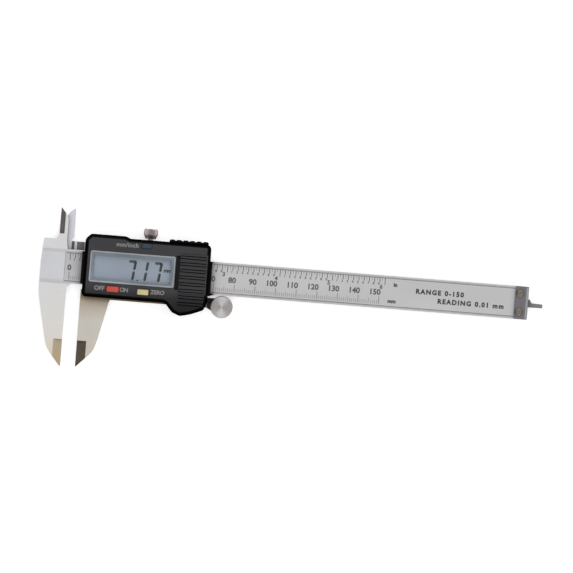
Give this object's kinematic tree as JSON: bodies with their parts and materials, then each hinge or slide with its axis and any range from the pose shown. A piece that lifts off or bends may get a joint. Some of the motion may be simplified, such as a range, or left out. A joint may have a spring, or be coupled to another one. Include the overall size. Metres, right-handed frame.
{
  "type": "digital caliper",
  "caption": "Digital caliper with inside and outside jaws, a sliding display module, a thumb roller, a lock screw and a depth rod.",
  "frame": {"origin": "centre of the bounding box in X and Y, on the plane that the slider's back rests on", "axes": "+X along the beam from the fixed jaw to the depth rod's tip, +Y towards the inside jaws, +Z out of the display"},
  "size_m": [0.2432, 0.0766, 0.0151],
  "materials": {
    "beam_steel": "satin ground stainless",
    "bright_steel": "fine ground stainless",
    "screw_steel": "satin",
    "roller_steel": "turned, knurled rim",
    "brass": "satin",
    "label": "printed satin silver film",
    "black_plastic": "fine moulded texture",
    "grey_plastic": "satin",
    "clear_window": "clear",
    "lcd": "satin grey-blue",
    "circuit_board": "solder mask",
    "rubber": "matt",
    "blue_button": "soft",
    "red_button": "soft",
    "cream_button": "soft"
  },
  "bodies": {
    "beam": {"main_beam": "beam_steel", "scale_circuit_strip": "circuit_board", "scale_label": "label", "end_stop_plate": "bright_steel", "end_stop_screw_upper": "screw_steel", "end_stop_screw_lower": "screw_steel"},
    "slider": {"slider_frame": "bright_steel", "gib_strip": "brass", "gib_adjust_screw_left": "screw_steel", "gib_adjust_screw_right": "screw_steel", "depth_rod": "bright_steel", "depth_rod_screw": "screw_steel", "front_cover": "black_plastic", "data_port_connector": "rubber", "cover_screw_1": "screw_steel", "cover_screw_2": "screw_steel", "cover_screw_3": "screw_steel", "cover_screw_4": "screw_steel", "circuit_board": "circuit_board", "lcd_bezel": "grey_plastic", "lcd_window": "clear_window", "lcd_glass": "lcd", "zebra_strip_lower": "rubber", "zebra_strip_upper": "rubber", "processor_chip": "rubber", "quartz_crystal": "screw_steel", "dome_switch_1": "screw_steel", "dome_switch_2": "screw_steel", "dome_switch_3": "screw_steel", "coin_battery": "bright_steel", "battery_contact_negative": "brass", "battery_contact_positive": "brass", "roller_bracket": "bright_steel", "roller_bracket_screw": "screw_steel", "roller_axle": "screw_steel", "roller_spring": "screw_steel"},
    "thumb_roller": {"thumb_roller": "roller_steel"},
    "lock_pad": {"lock_pad": "brass"},
    "lock_screw": {"lock_screw": "screw_steel"},
    "inch_mm_button": {"inch_mm_button": "blue_button"},
    "power_button": {"power_button": "red_button"},
    "zero_button": {"zero_button": "cream_button"},
    "battery_cover": {"battery_cover": "black_plastic"},
    "data_port_cover": {"data_port_cover": "black_plastic"}
  },
  "joints": [
    {"name": "slider_slide", "type": "slide", "parent": "beam", "child": "slider", "axis": [1, 0, 0], "range_m": [-0.00712, 0.1452]},
    {"name": "thumb_roller_spin", "type": "hinge", "parent": "slider", "child": "thumb_roller", "pos_m": [-0.03281, -0.0038, 0.0033], "axis": [0, 0, 1], "continuous": true},
    {"name": "lock_travel", "type": "slide", "parent": "slider", "child": "lock_pad", "axis": [0, 1, 0], "range_m": [-0.00008, 0.001]},
    {"name": "lock_turn", "type": "hinge", "parent": "lock_pad", "child": "lock_screw", "pos_m": [-0.06961, 0.0252, 0.0034], "axis": [0, 1, 0], "range_deg": [-60, 720]},
    {"name": "inch_mm_press", "type": "slide", "parent": "slider", "child": "inch_mm_button", "axis": [0, 0, -1], "range_m": [0, 0.0005], "stiffness_N_per_m": 1000},
    {"name": "power_press", "type": "slide", "parent": "slider", "child": "power_button", "axis": [0, 0, -1], "range_m": [0, 0.0005], "stiffness_N_per_m": 1000},
    {"name": "zero_press", "type": "slide", "parent": "slider", "child": "zero_button", "axis": [0, 0, -1], "range_m": [0, 0.0005], "stiffness_N_per_m": 1000},
    {"name": "battery_cover_slide", "type": "slide", "parent": "slider", "child": "battery_cover", "axis": [1, 0, 0], "range_m": [0, 0.0145]},
    {"name": "data_port_cover_slide", "type": "slide", "parent": "slider", "child": "data_port_cover", "axis": [1, 0, 0], "range_m": [0, 0.0203]}
  ],
  "couplings": [
    {"joint": "thumb_roller_spin", "follows": "slider_slide", "rad_per_m": 181.82},
    {"joint": "lock_turn", "follows": "lock_travel", "rad_per_m": 12566}
  ]
}
